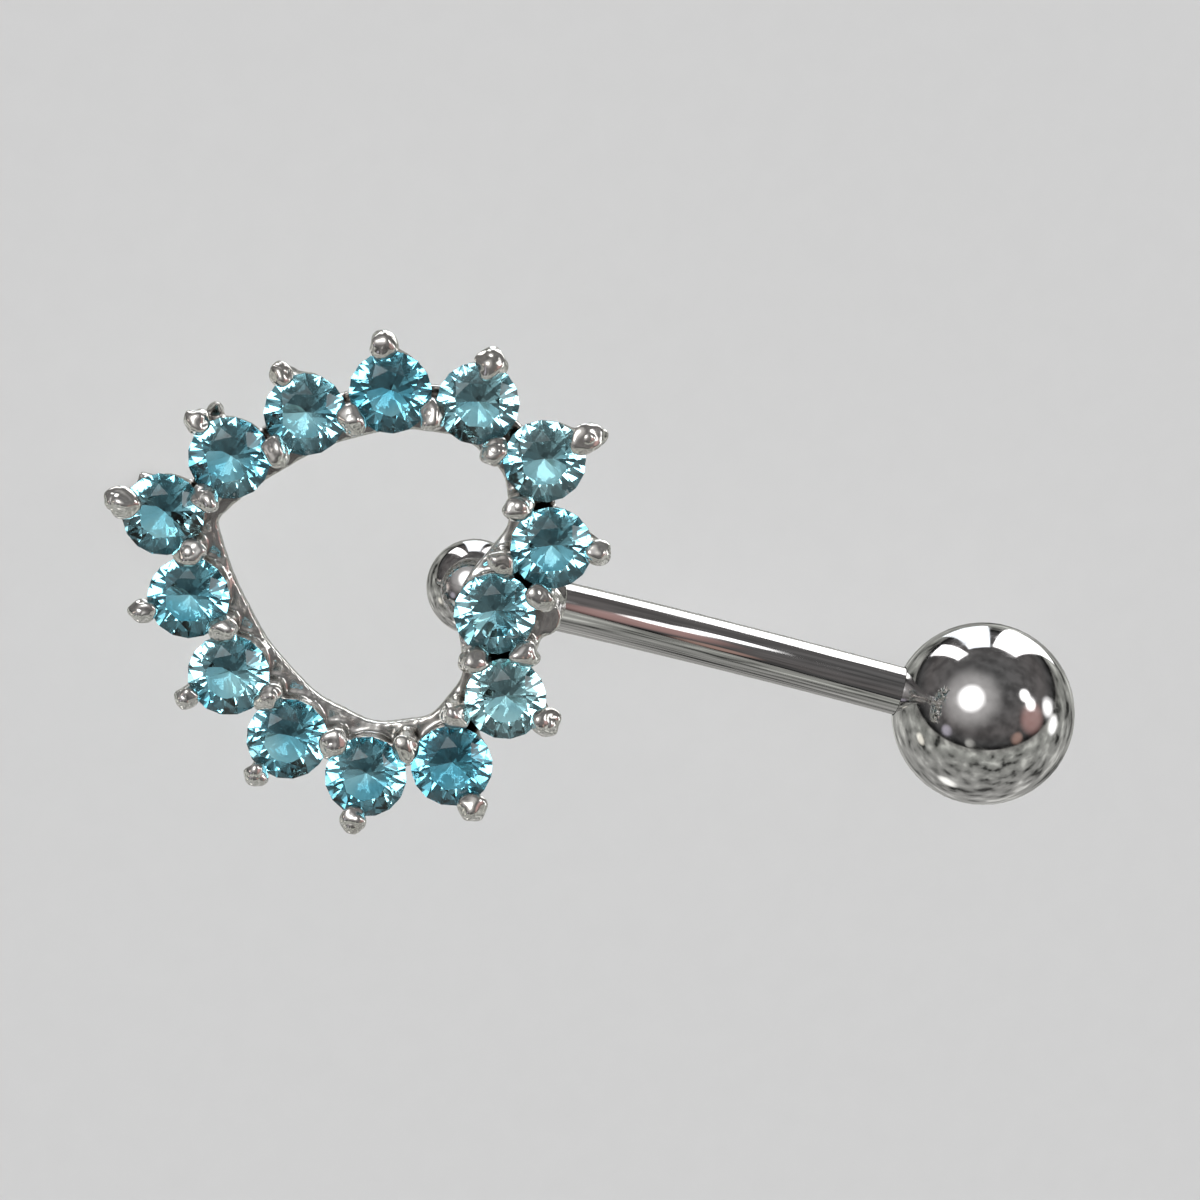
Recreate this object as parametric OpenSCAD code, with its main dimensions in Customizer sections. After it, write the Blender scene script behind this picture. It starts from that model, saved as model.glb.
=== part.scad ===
// Navel ring: a curved bar with a small fixed ball, a screw-on end ball and an open heart of
// fourteen round stones. The heart is laid out flat, seen from the front, with X from its tip to
// its notch, Y to the left and Z towards the viewer. The notch stone's centre is its origin.
// The finished ring is then turned so that it rests on its end ball and on the heart's tip.

/* [Stones] */
// Width of a round stone at its girdle
stone_d = 2.5; // [2.3:0.05:2.6]
// Height from the girdle to the table
crown_h = 0.4; // [0.3:0.05:0.5]
// Depth from the girdle to the point at the back
pavilion_h = 1.05; // [0.9:0.05:1.2]
// Width of the table from corner to corner
table_d = 1.4; // [1.2:0.05:1.6]
// Thickness of the girdle
girdle_h = 0.06; // [0.04:0.01:0.1]
// Space between a stone and its seat
stone_gap = 0.03; // [0.02:0.01:0.05]

/* [Heart] */
// Space between the edges of neighbouring stones
stone_space = 0.15; // [0.1:0.01:0.3]
// Depth from the girdles to the back of the rail
setting_depth = 2.1; // [1.8:0.05:2.4]
// Distance that the rail's inner edge stands beyond the stones
rail_lip = 0.02; // [0:0.01:0.06]
// Distance from the line through the stones to the rail's outer edge
rail_out = 0.2; // [0.1:0.05:0.4]
// Thickness of the rail
rail_t = 0.5; // [0.4:0.05:0.7]
// Distance that a stone overhangs the rim of its seat
seat_ledge = 0.05; // [0.03:0.01:0.08]
// Distance that a seat narrows from its rim to the rail, on each side
seat_taper = 0.15; // [0.05:0.05:0.2]
// Depth of a seat's rim below the girdles
rim_drop = 0.3; // [0.2:0.05:0.4]
// Width of the hole behind each stone
light_hole_d = 1.4; // [1.1:0.1:1.6]

/* [Prongs] */
// Width of a prong
prong_d = 0.58; // [0.5:0.02:0.65]
// Width of the bead at a prong's tip
bead_d = 0.7; // [0.62:0.02:0.8]
// Width of the prongs that hold two stones
shared_prong_d = 0.66; // [0.55:0.02:0.75]
// Width of the bead on a prong that holds two stones
shared_bead_d = 0.76; // [0.66:0.02:0.85]
// Height of a bead's centre above the girdles
bead_rise = 0.24; // [0.15:0.02:0.35]
// Distance that a bead laps over a stone's edge
bead_lap = 0.12; // [0.08:0.02:0.2]
// Distance that an outer prong leans outwards from foot to bead
prong_lean = 0.42; // [0.3:0.02:0.5]
// Height of an outer prong's foot above the back of the rail
foot_rise = 0.4; // [0.3:0.02:0.5]
// Width of the web behind an outer prong, where it leaves the seat
web_w = 1.5; // [1.2:0.1:1.6]
// Width of the foot under the heart's tip
foot_w = 1.56; // [1.4:0.02:1.6]
// Distance from the tip stone's centre to the end of the foot
foot_end = 1.15; // [1.1:0.05:1.25]
// Length of the spare prong that stands clear of a stone
spare_len = 1.1; // [0.9:0.05:1.3]

/* [Bar] */
// Thickness of the bar
bar_d = 1.6; // [1.2:0.1:1.6]
// Radius of the bar's bend
bend_r = 24; // [20:0.5:26]
// Angle through which the bar bends
bend_angle = 38.3; // [34:0.1:42]
// Slope of the line through both balls, from the heart's plane
bar_slope = 18.5; // [17:0.5:21]
// Turn of the bend about the line through both balls
bar_twist = -6.5; // [-10:0.5:10]
// Turn of the bar to the heart's right
bar_yaw = 0.5; // [0:0.1:1]
// Diameter of the fixed ball
small_ball_d = 3; // [2.8:0.1:3.2]
// Distance from the notch stone to the fixed ball's centre, towards the tip
small_ball_back = 0.75; // [0.6:0.05:0.9]
// Space between the fixed ball and the setting
ball_gap = 0.05; // [0.03:0.01:0.1]

/* [Collar] */
// Length of the collar that holds the heart on the bar
collar_len = 1.5; // [1.4:0.1:1.8]
// Wall of the collar
collar_wall = 0.22; // [0.2:0.02:0.4]
// Space between the collar and the bar
collar_gap = 0.03; // [0.02:0.01:0.05]
// Thickness of the stem between the collar and the rail
stem_d = 1.2; // [1:0.05:1.3]
// Distance from the notch stone's centre to the end of the pad behind it
pad_reach = 1.65; // [1.5:0.05:1.8]

/* [End ball] */
// Diameter of the screw-on ball
end_ball_d = 6; // [5:0.5:8]
// Depth of the ball's recess for the bar's shoulder
recess_depth = 0.28; // [0.2:0.02:0.4]
// Thickness of the bar's end post, over its thread
post_d = 1.2; // [1:0.1:1.2]
// Length of the end post
post_len = 2.1; // [1.8:0.1:2.2]
// Space round the post in the ball
post_gap = 0.03; // [0.02:0.01:0.05]

/* [Hidden] */
$fn = 48;
// Columns: direction to the next stone, swing of the outer prong away from the notch, and the
// place of the shared inner prong as a share of the pitch. One row for each stone of the left lobe,
// from the notch stone to the last one before the tip.
LOBE = [
    [66.3, 0, 0.3],
    [111.4, 14, 0.33],
    [155.8, 2, 0.28],
    [189.5, 6, 0.19],
    [211.5, 4, 0.18],
    [226.8, 6, 0.19],
    [0, 5, 0.17]];
HEADING = 0;
SWING = 1;
INNER = 2;
TIP = len(LOBE);
COUNT = 2 * TIP;
// Place of the two outer prongs that the notch stone shares, as a share of the pitch
notch_prong_share = 0.28;
// Number of straight pieces that round each corner of the rail
rail_steps = 3;
// Distance of a web's root from the stone's centre, as a share of the seat's foot
web_root = 0.8;
// Lean of the spare prong towards the heart's left
spare_lean = 30;

stone_r = stone_d / 2;
pitch = stone_d + stone_space;
back_z = -setting_depth;
rail_top = back_z + rail_t;
overlap = 0.05;
seat_r = stone_r - seat_ledge;
seat_foot_r = seat_r - seat_taper;
rail_in = stone_r + rail_lip;
bead_reach = stone_r + bead_d / 2 - bead_lap;
foot_reach = bead_reach - prong_lean;
prong_tilt = atan2(prong_lean, bead_rise - back_z);
ball_centre = [-small_ball_back, 0, back_z - ball_gap - small_ball_d / 2];

function stone_name(i) = str("stone_", i < 9 ? "0" : "", i + 1);
function unit(v) = v / norm(v);
function lobe_stone(i) = i == 0 ? [0, 0]
    : lobe_stone(i - 1) + pitch * [cos(LOBE[i - 1][HEADING]), sin(LOBE[i - 1][HEADING])];
last_lobe_stone = lobe_stone(TIP - 1);
tip_stone = [last_lobe_stone[0] - sqrt(pitch * pitch - pow(last_lobe_stone[1], 2)), 0];
function stone_at(i) = i < TIP ? lobe_stone(i)
    : i == TIP ? tip_stone
    : [lobe_stone(COUNT - i)[0], -lobe_stone(COUNT - i)[1]];
STONES = [for (i = [0:COUNT - 1]) stone_at(i)];
function stone(i) = STONES[(i + COUNT) % COUNT];

// Rows of LOBE for any stone and for the gap after it, on both lobes
function row_of(i) = LOBE[i <= TIP ? i : COUNT - i];
function gap_row(i) = LOBE[i < TIP ? i : COUNT - 1 - i];
function side(i) = i < TIP ? 1 : -1;

// Directions in the heart's plane: outwards from the loop at a stone, and across the gap after it
function outward(i) = let (t = unit(stone(i + 1) - stone(i - 1))) [t[1], -t[0]];
function gap_outward(i) = let (t = unit(stone(i + 1) - stone(i))) [t[1], -t[0]];
function gap_middle(i) = (stone(i) + stone(i + 1)) / 2;
function turned(v, a) = [v[0] * cos(a) - v[1] * sin(a), v[0] * sin(a) + v[1] * cos(a)];
function prong_out(i) = i == TIP ? outward(i) : turned(outward(i), side(i) * row_of(i)[SWING]);
function at_height(p, z) = [p[0], p[1], z];

// The rail's edge to either side of the line through the stones, with each corner rounded from
// halfway to the gap before it as far as halfway to the gap after it
function gap_edge(i, offset_out) = gap_middle(i) + offset_out * gap_outward(i);
function corner(i, offset_out) = stone(i)
    + offset_out / (outward(i) * gap_outward(i)) * unit(gap_outward(i - 1) + gap_outward(i));
function rail_edge(offset_out) = [for (i = [0:COUNT - 1], k = [0:rail_steps])
    let (t = k / rail_steps, c = corner(i, offset_out),
        a = (gap_edge(i - 1, offset_out) + c) / 2, b = (gap_edge(i, offset_out) + c) / 2)
    (1 - t) * (1 - t) * a + 2 * t * (1 - t) * c + t * t * b];

// Centres of the beads on the outer prongs and on the shared prongs
OUTER = [for (i = [1:COUNT - 1]) i];
function bead_centre(i) = at_height(stone(i) + bead_reach * prong_out(i), bead_rise);
function shared_bead(i, share) = at_height(gap_middle(i) + share * pitch * gap_outward(i), bead_rise);
SHARED = concat([for (i = [0:COUNT - 1]) shared_bead(i, -gap_row(i)[INNER])],
    [for (i = [0, COUNT - 1]) shared_bead(i, notch_prong_share)]);

// The bar, in a frame with X along it where it leaves the fixed ball, bending towards Z
function bend_point(a) = [bend_r * sin(a), 0, bend_r * (1 - cos(a))];
function along_bar(s) = s / bend_r * 180 / PI;
end_ball_r = end_ball_d / 2;
shoulder = sqrt(pow(end_ball_r, 2) - pow(bar_d / 2, 2)) - recess_depth;
end_ball_at = bend_point(bend_angle) + (shoulder + post_gap) * [cos(bend_angle), 0, sin(bend_angle)];
chord_angle = atan2(end_ball_at[2], end_ball_at[0]);
bar_turns = [[0, chord_angle, 0], [bar_twist, 0, 0], [0, bar_slope, -bar_yaw]];

// Turns about X, then Y, then Z, as rotate() makes them
function turn_x(p, a) = [p[0], p[1] * cos(a) - p[2] * sin(a), p[1] * sin(a) + p[2] * cos(a)];
function turn_y(p, a) = [p[0] * cos(a) + p[2] * sin(a), p[1], p[2] * cos(a) - p[0] * sin(a)];
function turn_z(p, a) = [p[0] * cos(a) - p[1] * sin(a), p[0] * sin(a) + p[1] * cos(a), p[2]];
function turn(p, a) = turn_z(turn_y(turn_x(p, a[0]), a[1]), a[2]);
function bar_turn(p) = turn(turn(turn(p, bar_turns[0]), bar_turns[1]), bar_turns[2]);
end_ball_centre = ball_centre + bar_turn(end_ball_at);

// The ring rests on its end ball and on the straight edge of the foot under the heart's tip
tip_edge = [stone(TIP)[0] - foot_end, 0, back_z];
tip_to_ball = [end_ball_centre[0] - tip_edge[0], end_ball_centre[2] - tip_edge[2]];
rest_angle = atan2(tip_to_ball[1], tip_to_ball[0]) + acos(end_ball_r / norm(tip_to_ball)) - 90;

// The origin lies under the middle of the resting ring
function rested(p) = turn_y(p, rest_angle);
EXTREMES = concat([[rested(end_ball_centre)[0], end_ball_r]],
    [for (i = OUTER) [rested(bead_centre(i))[0], bead_d / 2]]);
rest_middle = (min([for (e = EXTREMES) e[0] - e[1]]) + max([for (e = EXTREMES) e[0] + e[1]])) / 2;
rest_shift = [-rest_middle, 0, -rested(tip_edge)[2]];

module at_rest() {
    translate(rest_shift) rotate([0, rest_angle, 0]) children();
}

module bar_frame() {
    translate(ball_centre) rotate(bar_turns[2]) rotate(bar_turns[1]) rotate(bar_turns[0]) children();
}

// A length of the bend, as a ring swept between two places along the bar
module bend(start, end, r) {
    translate([0, 0, bend_r]) rotate([90, 0, 0]) rotate([0, 0, along_bar(start) - 90])
        rotate_extrude(angle = along_bar(end - start), $fn = 360) translate([bend_r, 0]) circle(r, $fn = 48);
}

// A round prong of a height, with a bead round its tip
module prong(h, d, bead) {
    translate([0, 0, -h]) cylinder(d = d, h = h);
    sphere(d = bead);
}

// An outer prong, and the web that narrows towards it from the stone's seat
module claw(i) {
    out = prong_out(i);
    web_reach = foot_reach + prong_lean / 2;
    translate(at_height(stone(i), 0)) rotate([0, 0, atan2(out[1], out[0])]) {
        translate([bead_reach, 0, bead_rise]) rotate([0, prong_tilt, 0])
            prong((bead_rise - back_z - foot_rise) / cos(prong_tilt), prong_d, bead_d);
        translate([0, 0, rail_top]) linear_extrude(-rail_top - rim_drop)
            polygon([[seat_foot_r * web_root, -web_w / 2], [web_reach, -prong_d / 3],
                [web_reach, prong_d / 3], [seat_foot_r * web_root, web_w / 2]]);
    }
}

// The foot that the ring rests on, under the stone at the tip
module tip_foot() {
    translate([stone(TIP)[0] - foot_end, -foot_w / 2, back_z]) cube([foot_end, foot_w, rail_t]);
}

// The prong behind stone 7 that stands straight and clear of it, with a pointed end
module spare_prong() {
    i = TIP - 1;
    translate(at_height(stone(i) + seat_foot_r * outward(i), rail_top))
        rotate([-spare_lean, 0, 0]) {
        cylinder(d = prong_d, h = spare_len);
        translate([0, 0, spare_len]) cylinder(d1 = prong_d, d2 = prong_d / 4, h = prong_d);
    }
}

module rail() {
    translate([0, 0, back_z]) linear_extrude(rail_t) difference() {
        polygon(rail_edge(rail_out));
        polygon(rail_edge(-rail_in));
    }
}

// The space that a stone, its clearance and the hole behind it take out of the setting
module stone_cut() {
    r = stone_r + stone_gap;
    girdle = girdle_h / 2 + stone_gap;
    table = table_d / 2 + stone_gap;
    rotate_extrude() polygon([
        [0, -pavilion_h - stone_gap], [r, -girdle], [r, girdle],
        [table, crown_h + stone_gap], [0, crown_h + stone_gap]]);
    translate([0, 0, back_z - 1]) cylinder(d = light_hole_d, h = 1 - back_z - pavilion_h / 2);
}

module collar() {
    start = small_ball_d / 2 + ball_gap;
    bend(start, start + collar_len, bar_d / 2 + collar_gap + collar_wall);
}

// The pad behind the notch stone, which carries two prongs, and the post down to the collar
module stem() {
    x = ball_centre[0] + small_ball_d / 2 + 3 * ball_gap + stem_d / 2;
    foot = ball_centre + bar_turn(bend_point(along_bar(small_ball_d / 2 + collar_len / 2)));
    pad_w = 2 * SHARED[COUNT][1] + shared_prong_d;
    translate([-rail_out, -pad_w / 2, back_z]) cube([pad_reach + rail_out, pad_w, rail_t]);
    translate([x, 0, foot[2]]) cylinder(d = stem_d, h = rail_top - overlap - foot[2]);
}

module heart_setting() {
    color("silver") difference() {
        union() {
            rail();
            for (i = [0:COUNT - 1]) translate(at_height(stone(i), rail_top - overlap))
                cylinder(r1 = seat_foot_r, r2 = seat_r, h = -rim_drop - rail_top + overlap);
            for (i = OUTER) claw(i);
            tip_foot();
            spare_prong();
            for (top = SHARED) translate(top)
                prong(top[2] - back_z - rail_t / 2, shared_prong_d, shared_bead_d);
            stem();
            bar_frame() collar();
        }
        for (i = [0:COUNT - 1]) translate(stone(i)) stone_cut();
        bar_frame() bend(0, small_ball_d + collar_len + 1, bar_d / 2 + collar_gap);
    }
}

module curved_bar() {
    color("gainsboro") bar_frame() {
        // The ball's poles lie along the bar
        rotate([0, -90, 0]) sphere(d = small_ball_d);
        bend(0, bend_r * bend_angle * PI / 180, bar_d / 2);
        translate(bend_point(bend_angle)) rotate([0, 90 - bend_angle, 0])
            translate([0, 0, -overlap]) cylinder(d = post_d, h = post_len + overlap);
    }
}

// The screw-on ball, with a plain hole for the post and a recess for the bar's shoulder
module end_ball() {
    bore_depth = post_len + 4 * post_gap;
    color("gainsboro") bar_frame() translate(end_ball_at) rotate([0, 90 - bend_angle, 0]) difference() {
        sphere(d = end_ball_d, $fn = 96);
        translate([0, 0, -shoulder - 1]) cylinder(r = post_d / 2 + post_gap, h = bore_depth + 1);
        translate([0, 0, -end_ball_r - 1]) cylinder(r = bar_d / 2 + post_gap, h = end_ball_r + 1 - shoulder);
    }
}

// A round brilliant: table, eight stars, eight kites, upper halves, girdle, lower halves and mains
module brilliant() {
    table_r = table_d / 2;
    g = girdle_h / 2;
    star_r = (table_r + stone_r) / 2;
    lower_r = 0.24 * stone_r;
    half_step = 22.5;
    half = cos(half_step);
    function ring(r, z, n, start) = [for (i = [0:n - 1]) let (a = start + i * 360 / n) [r * cos(a), r * sin(a), z]];
    star_z = crown_h - (star_r * half - table_r) * (crown_h - g) / (stone_r - table_r);
    lower_z = -pavilion_h + lower_r * half * (pavilion_h - g) / stone_r;
    points = concat(
        ring(table_r, crown_h, 8, 0), ring(star_r, star_z, 8, half_step),
        ring(stone_r, g, 16, 0), ring(stone_r, -g, 16, 0),
        ring(lower_r, lower_z, 8, half_step), [[0, 0, -pavilion_h]]);
    star = 8;
    top_girdle = 16;
    low_girdle = 32;
    lower = 48;
    culet = 56;
    faces = concat(
        [[for (i = [7:-1:0]) i]],
        [for (i = [0:7]) let (n = (i + 1) % 8) [i, n, star + i]],
        [for (i = [0:7]) let (b = (i + 7) % 8) [i, star + i, top_girdle + 2 * i, star + b]],
        [for (i = [0:7]) [star + i, top_girdle + 2 * i + 1, top_girdle + 2 * i]],
        [for (i = [0:7]) let (n = (2 * i + 2) % 16) [star + i, top_girdle + n, top_girdle + 2 * i + 1]],
        [for (i = [0:15]) let (n = (i + 1) % 16) [top_girdle + i, top_girdle + n, low_girdle + n, low_girdle + i]],
        [for (i = [0:7]) [lower + i, low_girdle + 2 * i, low_girdle + 2 * i + 1]],
        [for (i = [0:7]) let (n = (2 * i + 2) % 16) [lower + i, low_girdle + 2 * i + 1, low_girdle + n]],
        [for (i = [0:7]) let (b = (i + 7) % 8) [culet, lower + b, low_girdle + 2 * i, lower + i]]);
    polyhedron(points, faces);
}

module cut_stone(i) {
    out = outward(i);
    color("darkturquoise") translate(stone(i)) rotate(atan2(out[1], out[0])) brilliant();
}

at_rest() heart_setting();
at_rest() curved_bar();
at_rest() end_ball();
for (i = [0:COUNT - 1])
    at_rest() cut_stone(i);
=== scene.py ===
import math
import random

import bmesh
import bpy
from mathutils import Matrix, Vector, noise


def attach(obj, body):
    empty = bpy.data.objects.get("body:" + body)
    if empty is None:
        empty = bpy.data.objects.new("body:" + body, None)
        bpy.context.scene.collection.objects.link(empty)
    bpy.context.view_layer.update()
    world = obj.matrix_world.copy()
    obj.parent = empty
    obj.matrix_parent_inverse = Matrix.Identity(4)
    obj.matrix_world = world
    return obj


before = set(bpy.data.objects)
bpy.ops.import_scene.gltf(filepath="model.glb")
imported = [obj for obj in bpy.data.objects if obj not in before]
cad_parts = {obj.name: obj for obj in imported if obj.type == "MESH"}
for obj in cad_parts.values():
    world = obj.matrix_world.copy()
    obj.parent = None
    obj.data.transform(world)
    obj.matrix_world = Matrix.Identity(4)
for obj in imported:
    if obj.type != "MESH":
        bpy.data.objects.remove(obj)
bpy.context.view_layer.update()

MM = 0.001
BACKDROP_SIDE = 0.5

# The heart's own frame, with its origin at the notch stone, in the resting ring's frame
HEART_TILT = math.radians(-20.5342)
HEART_AT = Vector((-5.11381, 0, 6.03316))
STONE_COUNT = 14
TIP = 7

# The camera in the heart's frame: where it is, where it looks and which way is up in its picture
CAMERA_FOCAL = 119.04
CAMERA_SENSOR = 36
VIEW_ROWS = Matrix(((0.9566, 0.2915, 0.0031), (0.2869, -0.9434, 0.1664), (0.0515, -0.1583, -0.986)))
VIEW_SHIFT = Vector((-7.607, -0.919, 120.0))
HEART_MIDDLE = Vector((4.6137, 0, 0))

# Columns: swing of a stone's claw away from the notch in degrees, then the length, width and height
# of the lump at its tip in millimetres, and how far the lump stands out past its prong. One row for
# each stone after the one at the notch.
CLAWS = [
    (14, 0.85, 0.75, 0.70, 0.0),
    (2, 1.20, 0.95, 0.50, 0.30),
    (6, 1.00, 0.95, 0.75, -0.04),
    (4, 0.90, 0.85, 0.75, 0.05),
    (6, 0.80, 0.72, 0.65, 0.0),
    (5, 0.85, 0.75, 0.65, 0.05),
    (0, 1.10, 0.90, 0.80, 0.0),
    (5, 0.95, 0.72, 0.65, 0.05),
    (6, 0.80, 0.70, 0.60, 0.0),
    (4, 0.80, 0.70, 0.60, 0.0),
    (6, 0.90, 0.80, 0.75, -0.05),
    (2, 0.95, 0.85, 0.75, 0.05),
    (14, 0.95, 0.85, 0.66, 0.05)]
# How far inside the loop the prong after each stone stands, as a share of the stones' spacing
INNER_SHARES = (0.30, 0.33, 0.28, 0.19, 0.18, 0.19, 0.17)
NOTCH_SHARE = 0.28
BEAD_REACH = 1.48
BEAD_RISE = 0.24
BEAD_RADIUS = 0.35
SHARED_LUMP = (1.0, 0.8, 0.7)
LUMP_LEAN = 25
# How finely a lump is divided, and how strongly and closely its surface swells
LUMP_ROUNDS = 4
LUMP_SWELL = 0.3
LUMP_GRAIN = 2.2

# The room that the metal shows, with its floor level below the camera
ROOM_RIGHT = Vector((0.894, 0.2915, 0.3405))
ROOM_AHEAD = Vector((0.1339, 0.5513, -0.8233))
ROOM_UP = Vector((-0.4277, 0.7817, 0.4533))
# The room's light by height, from straight down at 0 through level at 0.5 to straight up at 1
ROOM_BY_HEIGHT = [(0, (0.44, 0.44, 0.42)), (0.42, (0.38, 0.39, 0.36)), (0.49, (0.3, 0.3, 0.28)),
                  (0.5, 0.012), (0.525, 0.02), (0.56, 0.07), (0.68, (0.13, 0.122, 0.12)), (1, 0.12)]
# Soft bright places in the room: turn from straight ahead, height and width in degrees, brightness, colour
ROOM_SPOTS = [
    (-139, 60, 20, 2.2, (1, 1, 1)),
    (-139, 60, 44, 0.4, (1, 0.98, 0.96)),
    (102, 41, 9, 3.0, (1, 1, 1)),
    (106, 30, 9, 2.5, (1, 1, 1)),
    (90, 8, 11, 1.9, (1, 1, 1)),
    (93, -10, 10, 1.6, (1, 1, 1)),
    (116, 18, 20, 0.35, (1, 0.55, 0.5)),
    (143, 8, 9, 0.35, (1, 0.6, 0.48)),
    (-106, 15, 8, 1.1, (1, 0.86, 0.78)),
    (-129, 10, 8, 0.5, (0.9, 0.85, 1)),
    (-100, -22, 7, 1.1, (1, 0.97, 0.86)),
    (-126, -62, 9, 1.2, (1, 1, 0.96)),
    (-160, 6, 7, 0.5, (1, 1, 0.94))]
# Panels of light: turn from straight ahead, height, width and upright size in degrees, brightness, colour
WINDOWS = [
    ("window_left", -27, 27, 13, 42, 1.9, (1, 1, 1)),
    ("window_middle", -1, 14, 21, 54, 1.3, (0.9, 0.95, 1)),
    ("window_right", 28, 11, 25, 56, 2.0, (1, 1, 1))]
STONE_LIGHTS = [
    ("stone_light_1", 60, 50, 36, 36, 7, (1, 1, 1)),
    ("stone_light_2", 170, 60, 24, 24, 5, (1, 1, 1)),
    ("stone_light_3", -70, 50, 36, 36, 7, (1, 1, 1)),
    ("stone_light_4", -10, 35, 30, 24, 9, (0.95, 0.97, 1)),
    ("stone_glow", 0, 85, 110, 110, 0.1, (1, 1, 1))]
PANEL_DISTANCE = 0.32
# Even light from above: strength, whether the ring shades it, and the one kind of surface that it lights
CEILING = [
    ("paper_shade", 0.55, True, "paper"),
    ("paper_fill", 2.45, False, "paper"),
    ("silver_light", 1.9, True, "silver")]
SILVER_LIGHT_WAY = Vector((-0.715, 0.372, 0.591))
# Width of the even light, in degrees
CEILING_SPREAD = 120


def from_heart(point):
    """A point of the heart's frame, in millimetres, in the ring's frame."""
    return Matrix.Rotation(HEART_TILT, 3, "Y") @ Vector(point) + HEART_AT


def to_heart(point):
    return Matrix.Rotation(-HEART_TILT, 3, "Y") @ (Vector(point) - HEART_AT)


def in_room(turn, height):
    """A direction in the room, from its turn from straight ahead and its height in degrees."""
    turn = math.radians(turn)
    height = math.radians(height)
    level = ROOM_RIGHT * math.sin(turn) + ROOM_AHEAD * math.cos(turn)
    return level * math.cos(height) + ROOM_UP * math.sin(height)


def new_material(name):
    material = bpy.data.materials.new(name)
    material.use_nodes = True
    nodes = material.node_tree.nodes
    return material, nodes, material.node_tree.links, nodes["Principled BSDF"]


def add_noise(nodes, links, scale, detail, stretch=(1, 1, 1)):
    """Noise over the object's own coordinates, with scale in features for each metre."""
    place = nodes.new("ShaderNodeTexCoord")
    mapping = nodes.new("ShaderNodeMapping")
    mapping.inputs["Scale"].default_value = stretch
    noise_node = nodes.new("ShaderNodeTexNoise")
    noise_node.inputs["Scale"].default_value = scale
    noise_node.inputs["Detail"].default_value = detail
    links.new(place.outputs["Object"], mapping.inputs["Vector"])
    links.new(mapping.outputs["Vector"], noise_node.inputs["Vector"])
    return noise_node.outputs["Fac"]


def ramp(nodes, links, value, stops):
    """A colour ramp of (place, grey or colour) stops over a value."""
    node = nodes.new("ShaderNodeValToRGB")
    elements = node.color_ramp.elements
    while len(elements) < len(stops):
        elements.new(0.5)
    for element, (place, colour) in zip(elements, stops):
        element.position = place
        element.color = (*colour, 1) if isinstance(colour, tuple) else (colour, colour, colour, 1)
    links.new(value, node.inputs["Fac"])
    return node.outputs["Color"]


def add_bump(nodes, links, shader, height, distance, strength):
    bump = nodes.new("ShaderNodeBump")
    bump.inputs["Distance"].default_value = distance
    bump.inputs["Strength"].default_value = strength
    links.new(height, bump.inputs["Height"])
    links.new(bump.outputs["Normal"], shader.inputs["Normal"])


def steel_material():
    """Polished steel with fine scuffs and a faint waviness."""
    material, nodes, links, shader = new_material("polished_steel")
    shader.inputs["Metallic"].default_value = 1
    shader.inputs["Base Color"].default_value = (0.68, 0.67, 0.67, 1)
    scuffs = add_noise(nodes, links, 2600, 6, (0.25, 1, 1))
    links.new(ramp(nodes, links, scuffs, [(0.45, 0.06), (0.75, 0.2)]), shader.inputs["Roughness"])
    add_bump(nodes, links, shader, add_noise(nodes, links, 700, 3), 0.00001, 0.25)
    return material


def silver_material():
    """Cast silver, polished on its high places, tarnished and darkened with painted shade in its hollows and
    beside the stones, and slightly uneven all over.
    """
    material, nodes, links, shader = new_material("cast_silver")
    shader.inputs["Metallic"].default_value = 0.93
    wear = add_noise(nodes, links, 900, 4)
    polished = ramp(nodes, links, wear, [(0.35, (0.84, 0.82, 0.78)), (0.6, (0.99, 0.98, 0.96))])
    # Painted shade: the colour darkens where the silver is closed in, in its hollows and next to the stones.
    # This is partly tarnish and partly shade painted in.
    hollow = nodes.new("ShaderNodeAmbientOcclusion")
    hollow.inputs["Distance"].default_value = 0.0009
    tarnish_and_painted_shade = ramp(nodes, links, hollow.outputs["AO"], [(0.3, (0.12, 0.105, 0.09)), (0.8, (1, 1, 1))])
    product = nodes.new("ShaderNodeMix")
    product.data_type = "RGBA"
    product.blend_type = "MULTIPLY"
    product.inputs["Factor"].default_value = 1
    links.new(polished, product.inputs["A"])
    links.new(tarnish_and_painted_shade, product.inputs["B"])
    links.new(product.outputs["Result"], shader.inputs["Base Color"])
    links.new(ramp(nodes, links, add_noise(nodes, links, 2200, 5), [(0.3, 0.07), (0.7, 0.2)]),
              shader.inputs["Roughness"])
    add_bump(nodes, links, shader, add_noise(nodes, links, 1400, 2), 0.00004, 0.25)
    return material


def gem_material():
    """Clear blue-green stone, deeper in some places and paler in others."""
    material, nodes, links, shader = new_material("blue_stone")
    shader.inputs["Transmission Weight"].default_value = 1
    shader.inputs["IOR"].default_value = 1.58
    shader.inputs["Roughness"].default_value = 0.04
    tone = add_noise(nodes, links, 400, 2)
    links.new(ramp(nodes, links, tone, [(0.4, (0.1, 0.42, 0.56)), (0.6, (0.42, 0.79, 0.86))]),
              shader.inputs["Base Color"])
    return material


def paper_material():
    material, nodes, links, shader = new_material("pale_paper")
    links.new(ramp(nodes, links, add_noise(nodes, links, 900, 3), [(0.3, 0.655), (0.7, 0.665)]),
              shader.inputs["Base Color"])
    shader.inputs["Roughness"].default_value = 0.9
    shader.inputs["Specular IOR Level"].default_value = 0
    return material


def dress(node, material):
    """Gives a CAD node its material."""
    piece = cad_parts[node]
    piece.data.materials.clear()
    piece.data.materials.append(material)


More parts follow.
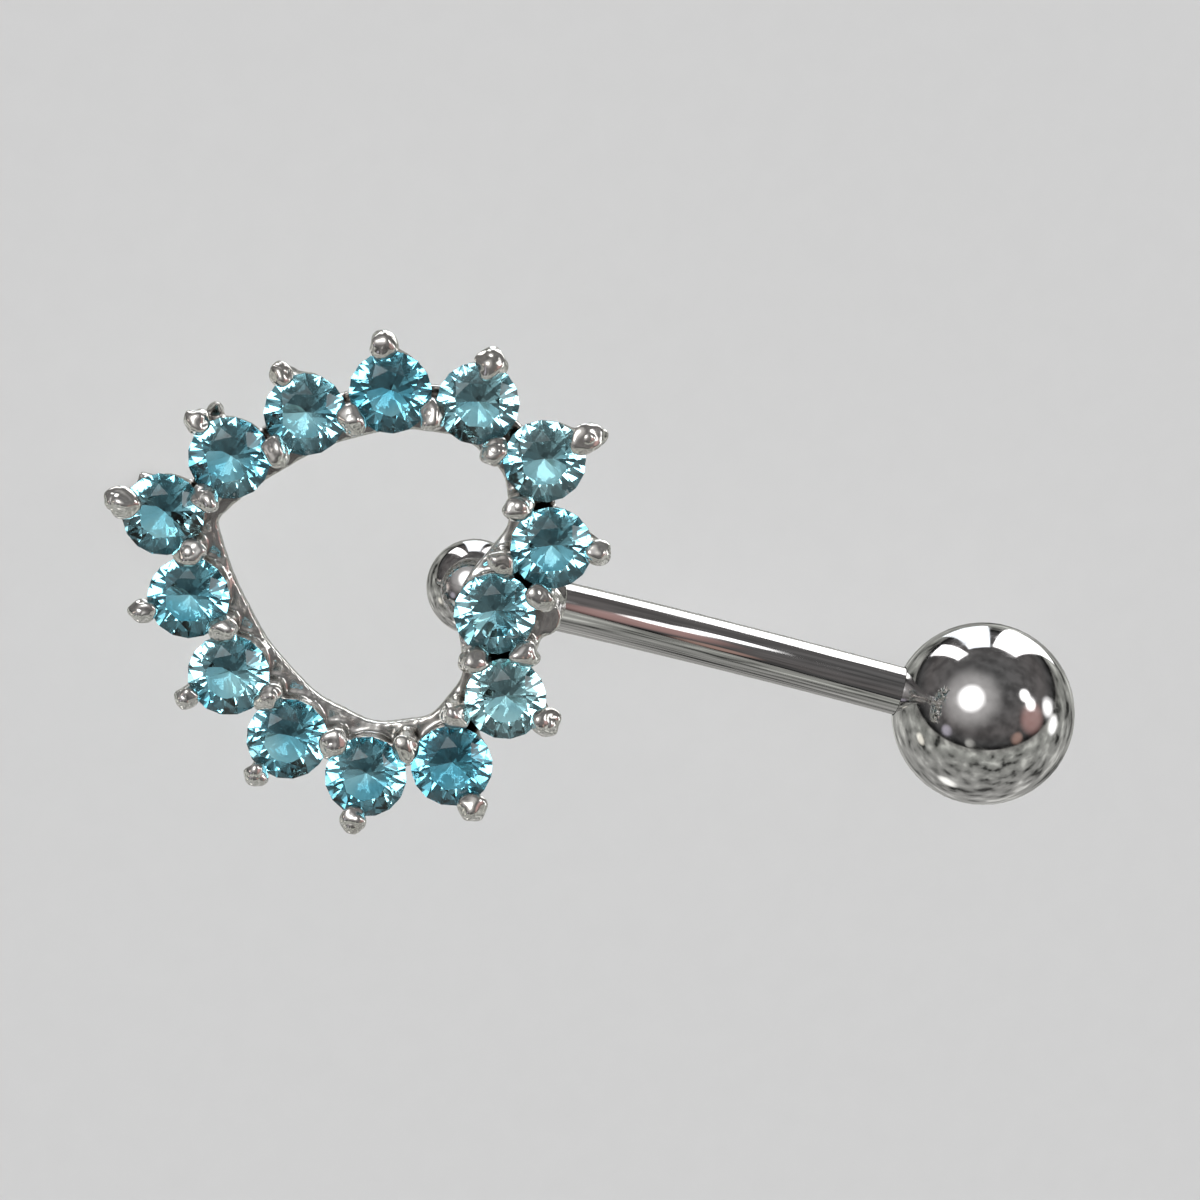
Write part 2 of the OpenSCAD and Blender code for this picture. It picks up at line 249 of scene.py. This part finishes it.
def soften_casting(setting):
    """Rounds the setting's edges and dents its faces a little, as casting and polishing do."""
    grain = bpy.data.textures.new("casting_grain", "CLOUDS")
    grain.noise_scale = 0.0008
    remesh = setting.modifiers.new("round_edges", "REMESH")
    remesh.voxel_size = 0.00009
    remesh.use_smooth_shade = True
    smooth = setting.modifiers.new("smooth", "SMOOTH")
    smooth.factor = 0.5
    smooth.iterations = 3
    dents = setting.modifiers.new("dents", "DISPLACE")
    dents.texture = grain
    dents.texture_coords = "LOCAL"
    dents.mid_level = 1
    dents.strength = 0.00004


def stone_places():
    """The stones' places in the heart's plane, in millimetres."""
    places = []
    for number in range(1, STONE_COUNT + 1):
        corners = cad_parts[f"stone_{number:02d}"].data.vertices
        middle = to_heart(sum((corner.co for corner in corners), Vector()) / len(corners) / MM)
        places.append(Vector((middle.x, middle.y, 0)))
    return places


def outwards(before, after):
    """The direction out of the loop, square to the line between two places on it."""
    along = (after - before).normalized()
    return Vector((along.y, -along.x, 0))


def add_lump(shape, place, out, size, chance):
    """An uneven cast lump round a prong's tip, with its length running outwards and down."""
    seed = Vector([chance.uniform(0, 50) for _ in range(3)])
    lean = Matrix.Rotation(math.radians(LUMP_LEAN), 3, "Y")
    axes = Matrix((out, Vector((-out.y, out.x, 0)), Vector((0, 0, 1)))).transposed()
    ball = bmesh.ops.create_icosphere(shape, subdivisions=LUMP_ROUNDS, radius=0.5)
    for vertex in ball["verts"]:
        swell = 1 + LUMP_SWELL * noise.noise(vertex.co * LUMP_GRAIN + seed)
        stretched = Vector([part * extent * swell for part, extent in zip(vertex.co, size)])
        vertex.co = from_heart(place + axes @ lean @ stretched) * MM


def add_lumps(material):
    """The lumps that the casting leaves at the tips of all the prongs."""
    chance = random.Random(7)
    places = stone_places()
    shape = bmesh.new()
    rise = Vector((0, 0, BEAD_RISE))
    for number, (swing, length, width, height, past) in enumerate(CLAWS, start=1):
        side = 0 if number == TIP else math.copysign(1, TIP - number)
        out = outwards(places[number - 1], places[(number + 1) % STONE_COUNT])
        out = Matrix.Rotation(math.radians(side * swing), 3, "Z") @ out
        reach = BEAD_REACH + BEAD_RADIUS + past - length / 2
        add_lump(shape, places[number] + out * reach + rise, out, (length, width, height), chance)
    for number in range(STONE_COUNT):
        after = places[(number + 1) % STONE_COUNT]
        out = outwards(places[number], after)
        gap = after - places[number]
        share = INNER_SHARES[min(number, STONE_COUNT - 1 - number)]
        middle = (places[number] + after) / 2 + rise
        add_lump(shape, middle - out * share * gap.length, out, SHARED_LUMP, chance)
        if number in (0, STONE_COUNT - 1):
            add_lump(shape, middle + out * NOTCH_SHARE * gap.length, out, SHARED_LUMP, chance)
    mesh = bpy.data.meshes.new("prong_tips")
    shape.to_mesh(mesh)
    shape.free()
    mesh.shade_smooth()
    mesh.materials.append(material)
    tips = bpy.data.objects.new("prong_tips", mesh)
    bpy.context.scene.collection.objects.link(tips)
    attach(tips, "ring")
    return tips


def add_camera():
    turn = VIEW_ROWS @ Matrix.Rotation(HEART_TILT, 3, "Y").transposed()
    shift = VIEW_SHIFT + VIEW_ROWS @ HEART_MIDDLE - turn @ HEART_AT
    flip = Matrix.Diagonal(Vector((1, -1, -1)))
    camera = bpy.data.objects.new("camera", bpy.data.cameras.new("camera"))
    camera.data.lens = CAMERA_FOCAL
    camera.data.sensor_width = CAMERA_SENSOR
    camera.data.clip_start = 0.01
    camera.matrix_world = Matrix.Translation(-(turn.transposed() @ shift) * MM) @ (
        flip @ turn).transposed().to_4x4()
    bpy.context.scene.collection.objects.link(camera)
    bpy.context.scene.camera = camera


def add_floor():
    """The paper that the ring lies on. The metal shows the room in its place."""
    half = BACKDROP_SIDE / 2
    mesh = bpy.data.meshes.new("floor")
    corners = [(-half, -half, 0), (half, -half, 0), (half, half, 0), (-half, half, 0)]
    mesh.from_pydata(corners, [], [(0, 1, 2, 3)])
    floor = bpy.data.objects.new("floor", mesh)
    mesh.materials.append(paper_material())
    floor.visible_glossy = False
    bpy.context.scene.collection.objects.link(floor)
    return floor


def collection_of(name, pieces):
    collection = bpy.data.collections.new(name)
    for piece in pieces:
        collection.objects.link(piece)
    return collection


def add_lamp(name, kind, seen_in):
    """A lamp that shows only in the kinds of surface named."""
    lamp = bpy.data.objects.new(name, bpy.data.lights.new(name, kind))
    lamp.visible_glossy = "metal" in seen_in
    lamp.visible_transmission = "stone" in seen_in
    lamp.visible_diffuse = "paper" in seen_in
    bpy.context.scene.collection.objects.link(lamp)
    return lamp


def add_panel(name, turn, elevation, width, upright, brightness, colour, seen_in):
    """A bright panel in the room, facing the ring."""
    panel = add_lamp(name, "AREA", seen_in)
    panel.data.shape = "RECTANGLE"
    panel.data.size, panel.data.size_y = [
        2 * PANEL_DISTANCE * math.tan(math.radians(angle) / 2) for angle in (width, upright)]
    panel.data.energy = 4 * brightness * panel.data.size * panel.data.size_y
    panel.data.color = colour
    away = in_room(turn, elevation)
    side = ROOM_UP.cross(away).normalized()
    panel.matrix_world = Matrix.Translation(away * PANEL_DISTANCE) @ Matrix(
        (side, away.cross(side), away)).transposed().to_4x4()


def dot_with(nodes, links, vector, direction):
    node = nodes.new("ShaderNodeVectorMath")
    node.operation = "DOT_PRODUCT"
    node.inputs[1].default_value = direction
    links.new(vector, node.inputs[0])
    return node.outputs["Value"]


def fade(nodes, links, value, start, end):
    """A smooth step from 0 to 1 as a value goes from start to end."""
    node = nodes.new("ShaderNodeMapRange")
    node.interpolation_type = "SMOOTHSTEP"
    node.inputs["From Min"].default_value = start
    node.inputs["From Max"].default_value = end
    links.new(value, node.inputs["Value"])
    return node.outputs["Result"]


def multiply_add(nodes, links, first, second, third):
    node = nodes.new("ShaderNodeVectorMath")
    node.operation = "MULTIPLY_ADD"
    for socket, source in zip(node.inputs, (first, second, third)):
        if isinstance(source, tuple):
            socket.default_value = source
        else:
            links.new(source, socket)
    return node.outputs["Vector"]


def add_world():
    """A dim room with a speckled floor and a few soft bright places."""
    world = bpy.data.worlds.new("studio")
    world.use_nodes = True
    nodes = world.node_tree.nodes
    links = world.node_tree.links
    way = nodes.new("ShaderNodeTexCoord").outputs["Generated"]
    height = dot_with(nodes, links, way, ROOM_UP)
    half_height = nodes.new("ShaderNodeMapRange")
    half_height.inputs["From Min"].default_value = -1
    links.new(height, half_height.inputs["Value"])
    room = ramp(nodes, links, half_height.outputs["Result"], ROOM_BY_HEIGHT)
    speckle_noise = nodes.new("ShaderNodeTexNoise")
    speckle_noise.inputs["Scale"].default_value = 5
    speckle_noise.inputs["Detail"].default_value = 3
    links.new(way, speckle_noise.inputs["Vector"])
    speckles = ramp(nodes, links, speckle_noise.outputs["Fac"],
                    [(0.34, 0.1), (0.45, 0.75), (0.56, 1.0), (0.7, 2.0)])
    mix = nodes.new("ShaderNodeMix")
    mix.data_type = "RGBA"
    clouds = ramp(nodes, links, speckle_noise.outputs["Fac"], [(0.35, 0.7), (0.65, 1.35)])
    links.new(clouds, mix.inputs["A"])
    links.new(fade(nodes, links, height, 0, -0.05), mix.inputs["Factor"])
    links.new(speckles, mix.inputs["B"])
    light = multiply_add(nodes, links, room, mix.outputs["Result"], (0, 0, 0))
    for turn, elevation, width, brightness, colour in ROOM_SPOTS:
        nearness = dot_with(nodes, links, way, in_room(turn, elevation))
        spot = fade(nodes, links, nearness, math.cos(math.radians(width)), math.cos(math.radians(width / 3)))
        light = multiply_add(nodes, links, spot, tuple(part * brightness for part in colour), light)
    links.new(light, nodes["Background"].inputs["Color"])
    bpy.context.scene.world = world
    world.cycles_visibility.diffuse = False


def add_light(lit_pieces):
    add_world()
    for window in WINDOWS:
        add_panel(*window, seen_in="metal")
    for light in STONE_LIGHTS:
        add_panel(*light, seen_in="stone")
    for name, strength, shaded, surface in CEILING:
        ceiling = add_lamp(name, "SUN", "paper")
        ceiling.data.energy = strength
        ceiling.data.angle = math.radians(CEILING_SPREAD)
        ceiling.light_linking.receiver_collection = lit_pieces[surface]
        # Light that the ring does not stop falls evenly on the paper round it
        if not shaded:
            ceiling.light_linking.blocker_collection = lit_pieces["paper"]
            ceiling.data.cycles.use_multiple_importance_sampling = False
        if surface == "silver":
            ceiling.rotation_euler = SILVER_LIGHT_WAY.to_track_quat("Z", "Y").to_euler()
    bpy.context.scene.view_settings.view_transform = "Standard"


steel = steel_material()
silver = silver_material()
gem = gem_material()
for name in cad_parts:
    dress(name, gem if name.startswith("stone") else silver if name == "heart_setting" else steel)
soften_casting(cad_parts["heart_setting"])
tips = add_lumps(silver)
floor = add_floor()
add_camera()
add_light({
    "paper": collection_of("paper", [floor]),
    "silver": collection_of("silver", [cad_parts["heart_setting"], tips])})
